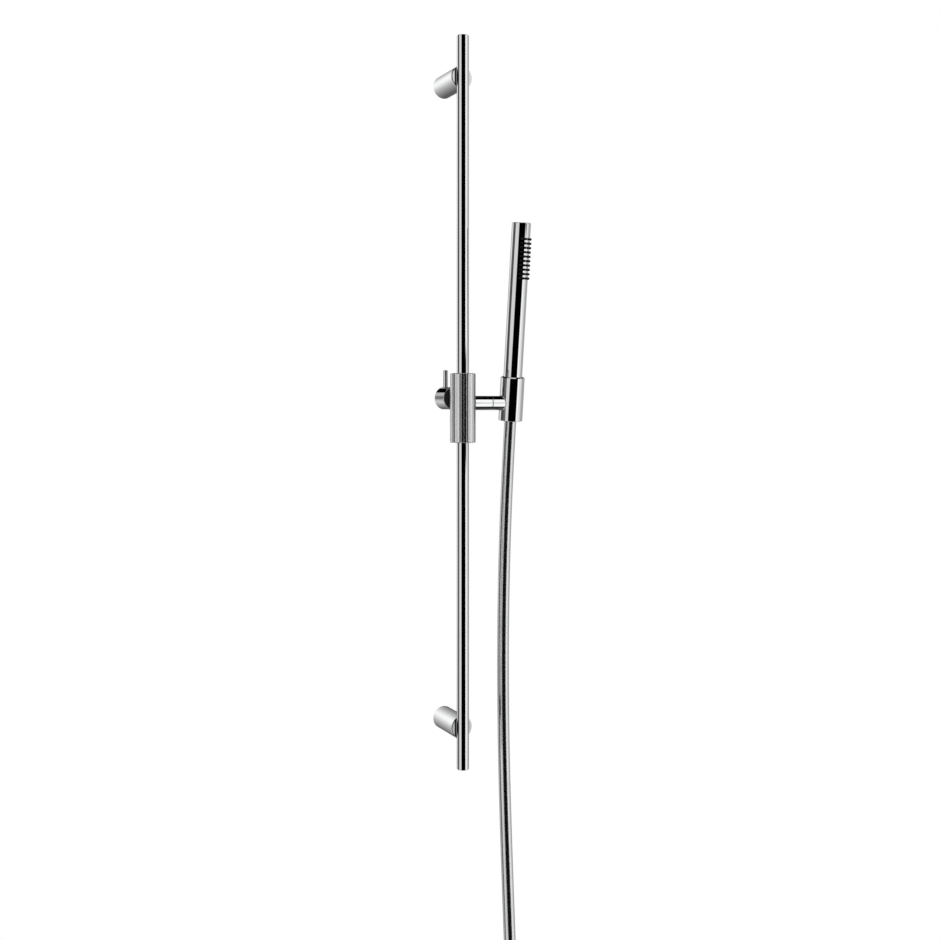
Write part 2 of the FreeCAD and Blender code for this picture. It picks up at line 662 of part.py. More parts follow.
def handset_core():
    """The inner waterway: a tube with a window for the nozzle strip."""
    outer = handset_bore() / 2 - SEATED
    low, high = strip_ends()
    core = pipe(2 * outer, 2 * (outer - CORE_WALL), HANDSET_LOW + INLET_PLUG + LOOSE,
                HANDSET_TOP - HANDSET_CAP_HEAD - HANDSET_CAP_PLUG - LOOSE)
    return core.cut(strip_sector(outer - 2 * CORE_WALL, outer + CORE_WALL, low - LOOSE, high + LOOSE, 1.0))


def handset_inlet():
    """The brass inlet: a plug in the tube and the threaded end below it."""
    plug = handset_bore() / 2 - SEATED
    thread = INLET_THREAD / 2
    low = HANDSET_LOW - INLET_OUT
    return turned(
        [(INLET_BORE / 2, low), (thread - 0.8, low), (thread, low + 0.8), (thread, HANDSET_LOW - SEATED),
         (plug, HANDSET_LOW - SEATED), (plug, HANDSET_LOW + INLET_PLUG),
         (INLET_BORE / 2, HANDSET_LOW + INLET_PLUG)]
    )


def inlet_end():
    return HANDSET_LOW - INLET_OUT


def hose_start():
    """Where the hose begins below its flanged insert, on the holder's axis."""
    return inlet_end() - FACE_WASHER - INSERT_FLANGE


def inlet_washer():
    """The flat washer between the inlet and the hose's insert."""
    return pipe(INSERT_FLANGE_DIA, INLET_BORE, inlet_end() - FACE_WASHER + SEATED, inlet_end() - SEATED)


def hose_insert():
    """The flanged insert in the upper end of the hose."""
    flange_low = hose_start()
    flange = rod(INSERT_FLANGE_DIA, flange_low + SEATED, flange_low + INSERT_FLANGE)
    barb = rod(HOSE_BORE, flange_low - INSERT_BARB, flange_low + SEATED)
    bore = rod(HOSE_BORE - 2.5, flange_low - INSERT_BARB, flange_low + INSERT_FLANGE)
    return flange.fuse(barb).removeSplitter().cut(bore)


def hose_ferrule():
    """The crimped ferrule round the upper end of the hose."""
    top = hose_start() - LOOSE
    return pipe(FERRULE_DIA, HOSE_DIA + 2 * SEATED, top - FERRULE_LENGTH, top)


def hose_cone_nut():
    """The cone nut that couples hose and inlet, and sits in the holder's seat."""
    top = HANDSET_LOW - LOOSE
    ledge = hose_start() - LOOSE
    low = ledge - FERRULE_LENGTH * 0.5
    thread = INLET_THREAD / 2 + RUN
    neck = FERRULE_DIA / 2 + RUN
    slope = (SEAT_TOP_BORE / 2 - SEAT_LOW_BORE / 2 - 0.6) / (SEAT_CONE_TOP - SEAT_CONE_LOW)
    at_low = SEAT_LOW_BORE / 2 + 0.6 + slope * (low - SEAT_CONE_LOW) - LOOSE
    at_top = SEAT_TOP_BORE / 2 + slope * (top - SEAT_CONE_TOP) - LOOSE
    return turned([(neck, low), (at_low, low), (at_top, top), (thread, top), (thread, ledge), (neck, ledge)])


def route_points():
    """The hose's points in the part's frame, from its start in the holder to the coil."""
    start = HOLDER_FRAME.multVec(V(0, 0, hose_start()))
    leaves = HOLDER_FRAME.multVec(V(0, 0, hose_start() - HOSE_STRAIGHT))
    return [start, leaves] + [V(x, y - RAIL_OUT, z) for x, y, z in HOSE_ROUTE]


def tube_path(points):
    """Straight runs joined by tangent arcs, each arc as large as its two runs allow."""
    edges, at, radii = [], points[0], []
    for before, corner, after in zip(points, points[1:], points[2:]):
        back, ahead = before - corner, after - corner
        reach = 0.45 * min(back.Length, ahead.Length)
        half_turn = (math.pi - back.getAngle(ahead)) / 2
        radii.append(reach / math.tan(half_turn))
        back.normalize()
        ahead.normalize()
        first, last = corner + back * reach, corner + ahead * reach
        inward = back + ahead
        inward.normalize()
        middle = corner + inward * (radii[-1] / math.cos(half_turn) - radii[-1])
        edges.append(Part.LineSegment(at, first).toShape())
        edges.append(Part.Arc(first, middle, last).toShape())
        at = last
    edges.append(Part.LineSegment(at, points[-1]).toShape())
    return Part.Wire(edges), radii


def hose_run():
    """The hanging stretch of the hose: a round tube along its path, bored for the upper insert."""
    points = route_points()
    wire, radii = tube_path(points)
    print("hose radii", [round(r) for r in radii])
    way = points[1] - points[0]
    circle = Part.Wire(Part.makeCircle(HOSE_DIA / 2, points[0], way))
    tube = wire.makePipeShell([circle], True, False)
    print("hose volume ratio", round(tube.Volume / (math.pi * HOSE_DIA**2 / 4 * wire.Length), 4))
    print("hose run length", round(wire.Length, 1))
    depth = INSERT_BARB + LOOSE
    way.normalize()
    return tube.cut(Part.makeCylinder(HOSE_BORE / 2 + SEATED, depth, points[0], way))


def coil_centre():
    last = HOSE_ROUTE[-1]
    return V(last[0] - COIL_RADIUS, last[1] - RAIL_OUT, last[2])


def coil_frame():
    """The coil's frame: its axis on Z, pointing away from the wall, and its entry on X."""
    return FreeCAD.Placement(coil_centre(), FreeCAD.Rotation(V(1, 0, 0), 90))


def tail_at():
    """How far out from the wall side the tail of the hose hangs, after its turns."""
    return COIL_TURNS * COIL_PITCH


def hose_coil():
    """The outer shape of the put away turns, with the tail that hangs from them."""
    inner, outer = COIL_RADIUS - HOSE_DIA / 2, COIL_RADIUS + HOSE_DIA / 2
    ring = pipe(2 * outer, 2 * inner, 0, tail_at())
    ring = ring.makeFillet(COIL_ROUND, [e for e in ring.Edges if isinstance(e.Curve, Part.Circle)])
    tail = rod(HOSE_DIA, -TIE_HIGH, TAIL_LENGTH).rotated(V(0, 0, 0), V(1, 0, 0), 90)
    tail = tail.translated(V(COIL_RADIUS, 0, tail_at()))
    bore = rod(HOSE_BORE + 2 * SEATED, TAIL_LENGTH - INSERT_BARB, TAIL_LENGTH)
    bore = bore.rotated(V(0, 0, 0), V(1, 0, 0), 90).translated(V(COIL_RADIUS, 0, tail_at()))
    return ring.fuse(tail).removeSplitter().cut(bore)


def coil_tie():
    """The strap round the incoming hose, the turns and the tail, at the coil's entry."""
    r_in = HOSE_DIA / 2 + TIE_GAP
    r_out = r_in + TIE_WALL

    def stadium(r):
        ends = rod(2 * r, 0, TIE_HIGH).fuse(rod(2 * r, 0, TIE_HIGH).translated(V(0, tail_at(), 0)))
        return ends.fuse(block((-r, r), (0, tail_at()), (0, TIE_HIGH))).removeSplitter()

    band = stadium(r_out).cut(stadium(r_in))
    band = band.rotated(V(0, 0, 0), V(1, 0, 0), 90).translated(V(COIL_RADIUS, TIE_HIGH / 2, 0))
    return band


def end_frame():
    """The lower end of the hose: its axis on Z pointing straight down from the tail's end."""
    place = coil_centre() + V(COIL_RADIUS, -tail_at(), -TAIL_LENGTH)
    return FreeCAD.Placement(place, FreeCAD.Rotation(V(1, 0, 0), 180))


def end_ferrule():
    """The crimped ferrule round the lower end of the hose."""
    return pipe(END_FERRULE_DIA, HOSE_DIA + 2 * SEATED, -END_FERRULE_LENGTH, -LOOSE)


def end_insert():
    """The flanged insert in the lower end of the hose, which carries the nut."""
    flange = rod(INSERT_FLANGE_DIA, END_NUT_FLOOR + LOOSE, END_NUT_FLOOR + LOOSE + INSERT_FLANGE)
    barb = rod(HOSE_BORE, SEATED - INSERT_BARB, END_NUT_FLOOR + LOOSE)
    collar = rod(HOSE_DIA - 2, SEATED, END_NUT_FLOOR + LOOSE)
    bore = rod(HOSE_BORE - 2.5, -INSERT_BARB, 2 * INSERT_BARB)
    return flange.fuse(barb).fuse(collar).removeSplitter().cut(bore)


def end_washer_low():
    """Where the lower nut's washer lies on the insert's flange."""
    return END_NUT_FLOOR + LOOSE + INSERT_FLANGE + SEATED


def hose_end_nut():
    """The six sided nut at the hose's lower end, with its threaded mouth facing down."""
    nut = rod(END_NUT_DIA, 0.2, END_NUT_HIGH)
    nut = rounded(nut, END_NUT_DIA / 2, END_NUT_ROUND, [0.2, END_NUT_HIGH])
    nut = nut.common(hexagon(END_NUT_DIA - 1.4, 0, END_NUT_HIGH))
    nut = nut.cut(rod(HOSE_DIA - 2 + 2 * LOOSE, 0, END_NUT_HIGH))
    nut = nut.cut(rod(INSERT_FLANGE_DIA + 4 * LOOSE, END_NUT_FLOOR, END_NUT_HIGH))
    return nut.cut(rod(END_NUT_THREAD, end_washer_low() + FACE_WASHER, END_NUT_HIGH))


def end_washer():
    """The flat washer inside the lower nut."""
    low = end_washer_low()
    return pipe(INSERT_FLANGE_DIA, INLET_BORE, low, low + FACE_WASHER)


def sleeve_end(way):
    """The frame at one end of the sleeve, its Z pointing out of it."""
    turn = FreeCAD.Rotation() if way > 0 else FreeCAD.Rotation(V(1, 0, 0), 180)
    return FreeCAD.Placement(V(0, -RAIL_OUT, SLEEVE_MID + way * SLEEVE_LENGTH / 2), turn)


def rail_end(way):
    """The frame at one end of the rail tube, its Z pointing out of it."""
    turn = FreeCAD.Rotation() if way > 0 else FreeCAD.Rotation(V(1, 0, 0), 180)
    return FreeCAD.Placement(V(0, -RAIL_OUT, way * (RAIL_LENGTH / 2 - CAP_HEAD)), turn)


def rail_at(z):
    return FreeCAD.Placement(V(0, -RAIL_OUT, z), FreeCAD.Rotation())


def inset(frame, depth):
    """The same frame, moved back along its own Z."""
    return frame.multiply(FreeCAD.Placement(V(0, 0, -depth), FreeCAD.Rotation()))


def pieces():
    """Every piece with its name and the frame it is placed in."""
    half = POST_SPACING / 2
    sleeve_frame = FreeCAD.Placement(V(0, -RAIL_OUT, SLEEVE_MID), FreeCAD.Rotation())
    ring_in = BUSH_RING_INSET
    bush_in = BUSH_RING_INSET + BUSH_RING_THICK + LOOSE
    yield "rail_tube", rail_tube(), RAIL_FRAME
    yield "upper_rail_cap", rail_cap(), rail_end(1)
    yield "lower_rail_cap", rail_cap(), rail_end(-1)
    yield "upper_rail_insert", rail_insert(), rail_at(half)
    yield "lower_rail_insert", rail_insert(), rail_at(-half)
    for side, frame in (("upper", UPPER_POST_FRAME), ("lower", LOWER_POST_FRAME)):
        yield side + "_post", post(), frame
        yield side + "_spigot", spigot(), frame
        yield side + "_grub_screw", grub_screw(), frame
        yield side + "_rail_screw", rail_screw(), frame
    for side, way in (("upper", 1), ("lower", -1)):
        yield side + "_bush", bush(), inset(sleeve_end(way), bush_in)
        yield side + "_bush_ring", bush_ring(), inset(sleeve_end(way), ring_in)
    yield "slider_sleeve", slider_sleeve(), sleeve_frame
    yield "clamp_neck", clamp_neck(), CLAMP_FRAME
    yield "knob_ring", knob_ring(), CLAMP_FRAME
    yield "clamp_knob", clamp_knob(), CLAMP_FRAME
    yield "knob_washer", knob_washer(), CLAMP_FRAME
    yield "clamp_lever", clamp_lever(), CLAMP_FRAME
    yield "clamp_spindle", clamp_spindle(), CLAMP_FRAME
    yield "brake_shoe", brake_shoe(), SHOE_FRAME
    yield "arm_stub", arm_stub(), ARM_FRAME
    yield "arm_screw", arm_screw(), ARM_FRAME
    yield "pivot_screw", pivot_screw(), ARM_FRAME
    yield "pivot_washer", pivot_washer(), ARM_FRAME
    yield "holder_cup", holder_cup(), HOLDER_FRAME
    yield "holder_seat", holder_seat(), HOLDER_FRAME
    yield "seat_ring", seat_ring(), HOLDER_FRAME
    yield "handset_tube", handset_tube(), HANDSET_FRAME
    yield "handset_cap", handset_cap(), HANDSET_FRAME
    yield "nozzle_strip", nozzle_strip(), HANDSET_FRAME
    yield "handset_core", handset_core(), HANDSET_FRAME
    yield "handset_inlet", handset_inlet(), HANDSET_FRAME
    yield "inlet_washer", inlet_washer(), HANDSET_FRAME
    yield "hose_insert", hose_insert(), HOLDER_FRAME
    yield "hose_ferrule", hose_ferrule(), HOLDER_FRAME
    yield "hose_cone_nut", hose_cone_nut(), HOLDER_FRAME
    yield "hose_run", hose_run(), NOWHERE
    yield "hose_coil", hose_coil(), coil_frame()
    yield "coil_tie", coil_tie(), coil_frame()
    yield "end_ferrule", end_ferrule(), end_frame()
    yield "end_insert", end_insert(), end_frame()
    yield "hose_end_nut", hose_end_nut(), end_frame()
    yield "end_washer", end_washer(), end_frame()


def main():
    os.makedirs("parts", exist_ok=True)
    for name, shape, frame in pieces():
        placed = shape.copy()
        placed.Placement = frame.multiply(shape.Placement)
        solids = len(placed.Solids)
        print(name, "valid", placed.isValid(), "solids", solids, "mm3", round(placed.Volume, 2))
        placed.exportStep("parts/" + name + ".step")


main()
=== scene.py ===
"""Looks of a wall mounted shower slide rail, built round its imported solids, in metres.

X runs right along the wall, Y into the wall and Z up the rail.
"""

import json
import logging
import math
from dataclasses import dataclass
from enum import Enum
from typing import Sequence

import bpy
import numpy as np
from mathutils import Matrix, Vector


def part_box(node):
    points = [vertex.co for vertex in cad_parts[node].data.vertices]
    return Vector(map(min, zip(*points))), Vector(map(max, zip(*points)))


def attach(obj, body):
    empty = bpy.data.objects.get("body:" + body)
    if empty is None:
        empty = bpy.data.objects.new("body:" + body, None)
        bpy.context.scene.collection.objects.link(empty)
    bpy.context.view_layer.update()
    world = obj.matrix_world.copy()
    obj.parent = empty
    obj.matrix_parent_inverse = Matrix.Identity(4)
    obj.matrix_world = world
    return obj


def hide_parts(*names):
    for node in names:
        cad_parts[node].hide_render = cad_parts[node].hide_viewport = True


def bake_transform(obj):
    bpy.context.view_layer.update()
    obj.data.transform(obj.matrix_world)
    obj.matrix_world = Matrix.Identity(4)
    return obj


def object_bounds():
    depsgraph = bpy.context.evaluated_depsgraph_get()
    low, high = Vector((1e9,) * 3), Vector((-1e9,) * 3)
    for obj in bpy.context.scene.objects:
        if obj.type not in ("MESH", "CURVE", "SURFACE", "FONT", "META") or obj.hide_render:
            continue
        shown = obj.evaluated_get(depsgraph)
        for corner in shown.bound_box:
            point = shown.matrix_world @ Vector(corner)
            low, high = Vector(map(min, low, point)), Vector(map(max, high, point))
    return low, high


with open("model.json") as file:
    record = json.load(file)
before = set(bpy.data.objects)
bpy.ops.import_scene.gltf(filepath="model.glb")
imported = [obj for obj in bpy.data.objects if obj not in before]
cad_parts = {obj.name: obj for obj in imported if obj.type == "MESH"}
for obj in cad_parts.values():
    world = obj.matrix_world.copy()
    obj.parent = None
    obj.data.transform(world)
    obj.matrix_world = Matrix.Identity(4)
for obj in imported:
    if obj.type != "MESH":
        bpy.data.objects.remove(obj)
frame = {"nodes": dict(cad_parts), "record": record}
CAD_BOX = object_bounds()
log = logging.getLogger("slide_rail")

IMAGE_PIXELS = 940
RAIL_OUT = -sum(corner[1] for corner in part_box("rail_tube")) / 2
FINE_TIMES = 14.0  # how much finer the handling marks' grain is than their smudges
HAZE_FROM, HAZE_GAIN = 0.42, 3.0  # where smudges begin in the wide noise, and how fast they grow
Vec3 = tuple[float, float, float]
Input = float | bpy.types.NodeSocket


class Body(Enum):
    """The moving bodies of the part."""

    RAIL = "rail"
    CARRIAGE = "carriage"
    SLIDER = "slider"
    KNOB = "knob"
    CLAMP = "clamp"
    HOLDER = "holder"


class Slot(Enum):
    """The record's material slots."""

    CHROME = "chrome"
    BRASS = "brass"
    STEEL = "steel"
    PLASTIC = "plastic"
    RUBBER = "rubber"
    HOSE = "hose"
    TIE = "tie"


# Meshes


def grid_mesh(name: str, points: np.ndarray, round_u: bool, round_v: bool) -> bpy.types.Object:
    """Makes a mesh from a grid of points, with a quad between each four neighbours.

    Args:
        name: The new object's name.
        points: Array of rows by columns by 3, in metres.
        round_u: Whether the last row joins the first.
        round_v: Whether the last column joins the first.

    Returns:
        The object, smooth shaded, at the origin.
    """
    rows, columns = points.shape[:2]
    row = np.arange(rows if round_u else rows - 1)
    column = np.arange(columns if round_v else columns - 1)
    here, across = np.meshgrid(row, column, indexing="ij")
    below, beside = (here + 1) % rows, (across + 1) % columns
    quads = np.stack(
        [here * columns + across, here * columns + beside, below * columns + beside, below * columns + across], axis=-1
    ).reshape(-1, 4)
    return put_mesh(name, points.reshape(-1, 3), quads)


def put_mesh(name: str, points: np.ndarray, faces: np.ndarray) -> bpy.types.Object:
    """Puts points and faces of one size into a new smooth shaded object.

    Args:
        name: The new object's name.
        points: Array of points by 3, in metres.
        faces: Array of faces by corners, holding point numbers.

    Returns:
        The object, linked to the scene.
    """
    mesh = bpy.data.meshes.new(name)
    corners = faces.shape[1]
    mesh.vertices.add(len(points))
    mesh.vertices.foreach_set("co", points.astype(np.float32).ravel())
    mesh.loops.add(faces.size)
    mesh.loops.foreach_set("vertex_index", faces.astype(np.int32).ravel())
    mesh.polygons.add(len(faces))
    mesh.polygons.foreach_set("loop_start", np.arange(0, faces.size, corners, dtype=np.int32))
    mesh.polygons.foreach_set("use_smooth", np.ones(len(faces), dtype=bool))
    mesh.update(calc_edges=True)
    mesh.validate()
    thing = bpy.data.objects.new(name, mesh)
    bpy.context.scene.collection.objects.link(thing)
    return thing


# Shared shader effects


def new_group(name: str, inputs: Sequence[tuple[str, float]], outputs: Sequence[str]) -> bpy.types.NodeTree:
    """Makes an empty shader node group with value sockets.

    Args:
        name: The group's name.
        inputs: Name and default of each input.
        outputs: Name of each output.

    Returns:
        The group with its input and output nodes inside, named "in" and "out".
    """
    group = bpy.data.node_groups.new(name, "ShaderNodeTree")
    for label, value in inputs:
        socket = group.interface.new_socket(label, in_out="INPUT", socket_type="NodeSocketFloat")
        socket.default_value = value
    for label in outputs:
        group.interface.new_socket(label, in_out="OUTPUT", socket_type="NodeSocketFloat")
    group.nodes.new("NodeGroupInput").name = "in"
    group.nodes.new("NodeGroupOutput").name = "out"
    return group


def feed(tree: bpy.types.NodeTree, socket: bpy.types.NodeSocket, value: Input) -> None:
    """Sets an input socket to a number, or links another socket to it.

    Args:
        tree: The node tree.
        socket: The input socket.
        value: A number, or an output socket.
    """
    if isinstance(value, bpy.types.NodeSocket):
        tree.links.new(value, socket)
    else:
        socket.default_value = value


def math_node(tree: bpy.types.NodeTree, kind: str, *values: Input, clamp: bool = False) -> bpy.types.NodeSocket:
    """Adds a Math node.

    Args:
        tree: The node tree.
        kind: The operation, such as MULTIPLY.
        values: Each input: a number, or an output socket to link.
        clamp: Whether the result is held between 0 and 1.

    Returns:
        The result's socket.
    """
    node = tree.nodes.new("ShaderNodeMath")
    node.operation = kind
    node.use_clamp = clamp
    for socket, value in zip(node.inputs, values):
        feed(tree, socket, value)
    return node.outputs[0]


def noise(tree: bpy.types.NodeTree, where: bpy.types.NodeSocket, scale: Input, detail: float) -> bpy.types.NodeSocket:
    """Adds a noise texture and returns its value socket.

    Args:
        tree: The node tree.
        where: The coordinates.
        scale: Size of the pattern, a number or a socket.
        detail: How many finer layers it has.

    Returns:
        The noise value, about 0 to 1.
    """
    node = tree.nodes.new("ShaderNodeTexNoise")
    tree.links.new(where, node.inputs["Vector"])
    feed(tree, node.inputs["Scale"], scale)
    node.inputs["Detail"].default_value = detail
    return node.outputs["Fac"]


def handling_group() -> bpy.types.NodeTree:
    """Builds the handling marks that every hard finish shares.

    Soft smudges and water haze are two layers of noise; a little of each is added to the roughness. The wide
    layer is also the height of a slow waviness, and the fine one that of a grain.

    Returns:
        A group with inputs Roughness, Smudge and Scale, and outputs Roughness, Mask, Wave and Grain.
    """
    group = new_group(
        "handling_marks",
        [("Roughness", 0.05), ("Smudge", 0.05), ("Scale", 40.0)],
        ["Roughness", "Mask", "Wave", "Grain"],
    )
    given, out = group.nodes["in"], group.nodes["out"]
    where = group.nodes.new("ShaderNodeTexCoord").outputs["Object"]
    wide = noise(group, where, given.outputs["Scale"], 3.0)
    fine_scale = math_node(group, "MULTIPLY", given.outputs["Scale"], FINE_TIMES)
    fine = noise(group, where, fine_scale, 2.0)
    haze = math_node(group, "SUBTRACT", wide, HAZE_FROM, clamp=True)
    mask = math_node(group, "MULTIPLY", haze, HAZE_GAIN, clamp=True)
    added = math_node(group, "MULTIPLY", math_node(group, "MULTIPLY", mask, fine), given.outputs["Smudge"])
    group.links.new(math_node(group, "ADD", given.outputs["Roughness"], added), out.inputs["Roughness"])
    group.links.new(mask, out.inputs["Mask"])
    group.links.new(wide, out.inputs["Wave"])
    group.links.new(fine, out.inputs["Grain"])
    return group


HANDLING = handling_group()


def new_material(name: str) -> tuple[bpy.types.Material, bpy.types.ShaderNodeBsdfPrincipled]:
    """Makes a node material.

    Args:
        name: The material's name.

    Returns:
        The material and its Principled shader.
    """
    material = bpy.data.materials.new(name)
    material.use_nodes = True
    return material, material.node_tree.nodes["Principled BSDF"]


def handling(material: bpy.types.Material, roughness: float, smudge: float, scale: float) -> bpy.types.Node:
    """Places the handling marks in a material and links its roughness.

    Args:
        material: The material to add them to.
        roughness: Roughness of the clean surface.
        smudge: Roughness that the marks add.
        scale: Size of the pattern, per metre.

    Returns:
        The group node.
    """
    tree = material.node_tree
    marks = tree.nodes.new("ShaderNodeGroup")
    marks.node_tree = HANDLING
    marks.inputs["Roughness"].default_value = roughness
    marks.inputs["Smudge"].default_value = smudge
    marks.inputs["Scale"].default_value = scale
    tree.links.new(marks.outputs["Roughness"], tree.nodes["Principled BSDF"].inputs["Roughness"])
    return marks


def tint(material: bpy.types.Material, mask: bpy.types.NodeSocket, low: Vec3, high: Vec3) -> None:
    """Blends the base colour between two colours by a mask.

    Args:
        material: The material.
        mask: 0 gives low and 1 gives high.
        low: First colour, linear.
        high: Second colour, linear.
    """
    tree = material.node_tree
    mix = tree.nodes.new("ShaderNodeMix")
    mix.data_type = "RGBA"
    tree.links.new(mask, mix.inputs["Factor"])
    mix.inputs["A"].default_value = (*low, 1.0)
    mix.inputs["B"].default_value = (*high, 1.0)
    tree.links.new(mix.outputs["Result"], tree.nodes["Principled BSDF"].inputs["Base Color"])


def bump(material: bpy.types.Material, height: bpy.types.NodeSocket, strength: float, distance: float) -> None:
    """Links a height to the shader's normal.

    Args:
        material: The material.
        height: The height's socket.
        strength: Share of the effect.
        distance: Depth in metres.
    """
    tree = material.node_tree
    node = tree.nodes.new("ShaderNodeBump")
    node.inputs["Strength"].default_value = strength
    node.inputs["Distance"].default_value = distance
    tree.links.new(height, node.inputs["Height"])
    tree.links.new(node.outputs["Normal"], tree.nodes["Principled BSDF"].inputs["Normal"])


# Finishes


@dataclass(frozen=True)
class Metal:
    """A bare or plated metal: its colour, how it shines and how it was handled."""

    name: str
    colour: Vec3
    worn: Vec3
    roughness: float
    smudge: float
    scale: float
    waviness: float

    def material(self) -> bpy.types.Material:
        """Builds the metal's material.

        Returns:
            The material, with handling marks, worn colour and a slow waviness.
        """
        material, shader = new_material(self.name)
        shader.inputs["Metallic"].default_value = 1.0
        marks = handling(material, self.roughness, self.smudge, self.scale)
        tint(material, marks.outputs["Mask"], self.colour, self.worn)
        bump(material, marks.outputs["Wave"], 0.2, self.waviness)
        return material


@dataclass(frozen=True)
class Moulded:
    """A moulded plastic or rubber with a fine grain."""

    name: str
    colour: Vec3
    worn: Vec3
    roughness: float
    grain: float
    depth: float

    def material(self) -> bpy.types.Material:
        """Builds the moulded material.

        Returns:
            The material, with handling marks, worn colour and a fine grain.
        """
        material, shader = new_material(self.name)
        shader.inputs["Specular IOR Level"].default_value = 0.4
        marks = handling(material, self.roughness, 0.2, self.grain / FINE_TIMES)
        tint(material, marks.outputs["Mask"], self.colour, self.worn)
        bump(material, marks.outputs["Grain"], 0.4, self.depth)
        return material


@dataclass(frozen=True)
class Strap:
    """A woven strap: two crossed waves give its ribs."""

    name: str
    colour: Vec3
    worn: Vec3
    ribs: float

    def material(self) -> bpy.types.Material:
        """Builds the strap's material.

        Returns:
            The material, with handling marks, worn colour and ribs.
        """
        material, shader = new_material(self.name)
        tree = material.node_tree
        marks = handling(material, 0.75, 0.15, 90.0)
        tint(material, marks.outputs["Mask"], self.colour, self.worn)
        where = tree.nodes.new("ShaderNodeTexCoord").outputs["Object"]
        heights = []
        for direction in ("Z", "DIAGONAL"):
            wave = tree.nodes.new("ShaderNodeTexWave")
            wave.bands_direction = direction
            wave.inputs["Scale"].default_value = self.ribs
            tree.links.new(where, wave.inputs["Vector"])
            heights.append(wave.outputs["Fac"])
        bump(material, math_node(tree, "MULTIPLY", *heights), 0.6, 0.0004)
        shader.inputs["Specular IOR Level"].default_value = 0.3
        return material


CHROME = Metal("polished_chrome", (0.95, 0.953, 0.957), (0.9, 0.905, 0.91), 0.012, 0.01, 30.0, 0.00001)
KNURL = Metal("knurled_chrome", (0.95, 0.953, 0.957), (0.9, 0.905, 0.91), 0.24, 0.01, 30.0, 0.00001)
BRASS = Metal("turned_brass", (0.72, 0.52, 0.22), (0.6, 0.42, 0.17), 0.22, 0.2, 60.0, 0.00003)
STEEL = Metal("plain_steel", (0.58, 0.585, 0.59), (0.45, 0.45, 0.46), 0.28, 0.2, 80.0, 0.00003)
HOSE_SKIN = Metal("silver_hose", (0.9, 0.905, 0.91), (0.84, 0.845, 0.85), 0.22, 0.008, 25.0, 0.00001)
PLASTIC = Moulded("black_moulding", (0.018, 0.018, 0.019), (0.03, 0.03, 0.031), 0.45, 900.0, 0.00005)
RUBBER = Moulded("soft_nozzles", (0.004, 0.004, 0.004), (0.008, 0.008, 0.008), 0.5, 1600.0, 0.00004)
TIE = Strap("woven_tie", (0.02, 0.02, 0.021), (0.05, 0.05, 0.05), 260.0)
FINISHES = {
    Slot.CHROME: CHROME,
    Slot.BRASS: BRASS,
    Slot.STEEL: STEEL,
    Slot.PLASTIC: PLASTIC,
    Slot.RUBBER: RUBBER,
    Slot.HOSE: HOSE_SKIN,
    Slot.TIE: TIE,
}


SLOTS = {part["node"]: Slot(part["material_slot"]) for part in frame["record"]["subparts"]}


def put_on(piece: bpy.types.Object, material: bpy.types.Material) -> None:
    """Gives a piece one material.

    Args:
        piece: A new piece or a solid of the frame.
        material: Its finish.
    """
    if not piece.material_slots:
        piece.data.materials.append(material)
    for slot in piece.material_slots:
        slot.material = material


# Camera and light


@dataclass
class View:
    """The camera: level, a little left of the rail's front."""

    turn: float = 26.0
    away: float = 1.4165
    focal_pixels: float = 1154.0
    rail_x: float = 462.85
    level_y: float = 402.35

    def build(self) -> None:
        """Makes the camera, aimed at the rail's axis at the level of the wall screws' middle."""
        data = bpy.data.cameras.new("view")
        data.sensor_width = 36.0
        data.lens = self.focal_pixels / IMAGE_PIXELS * data.sensor_width
        middle = IMAGE_PIXELS / 2
        data.shift_x = (middle - self.rail_x) / IMAGE_PIXELS
        data.shift_y = (self.level_y - middle) / IMAGE_PIXELS
        camera = bpy.data.objects.new("view", data)
        turn = math.radians(self.turn)
        camera.location = (-self.away * math.sin(turn), -RAIL_OUT - self.away * math.cos(turn), 0.0)
        camera.rotation_euler = (math.pi / 2, 0.0, -turn)
        bpy.context.scene.collection.objects.link(camera)
        bpy.context.scene.camera = camera


@dataclass(frozen=True)
class Panel:
    """One evenly lit field of the surroundings, with soft edges.

    Turns run from straight out of the wall towards the right and heights up from level, all in degrees.
    """

    turns: tuple[float, float]
    heights: tuple[float, float]
    level: float
    soft: float = 3.0


@dataclass(frozen=True)
class Sweep(Panel):
    """A field whose level rises along a slanting line, from lower right to upper left behind the wall.

    Each stop gives the share of a direction that points along the line, and the level there.
    """

    line: Vec3 = (-0.8192, 0.0, 0.5736)
    stops: tuple[tuple[float, float], ...] = ((-0.5, 0.1), (0.0, 0.35), (0.25, 0.54), (0.42, 0.8), (0.5, 1.03))


@dataclass(frozen=True)
class Lamp:
    """A soft square lamp: its name, place, power in watts, and lean from straight down in degrees."""

    name: str
    place: Vec3
    watts: float
    lean: float


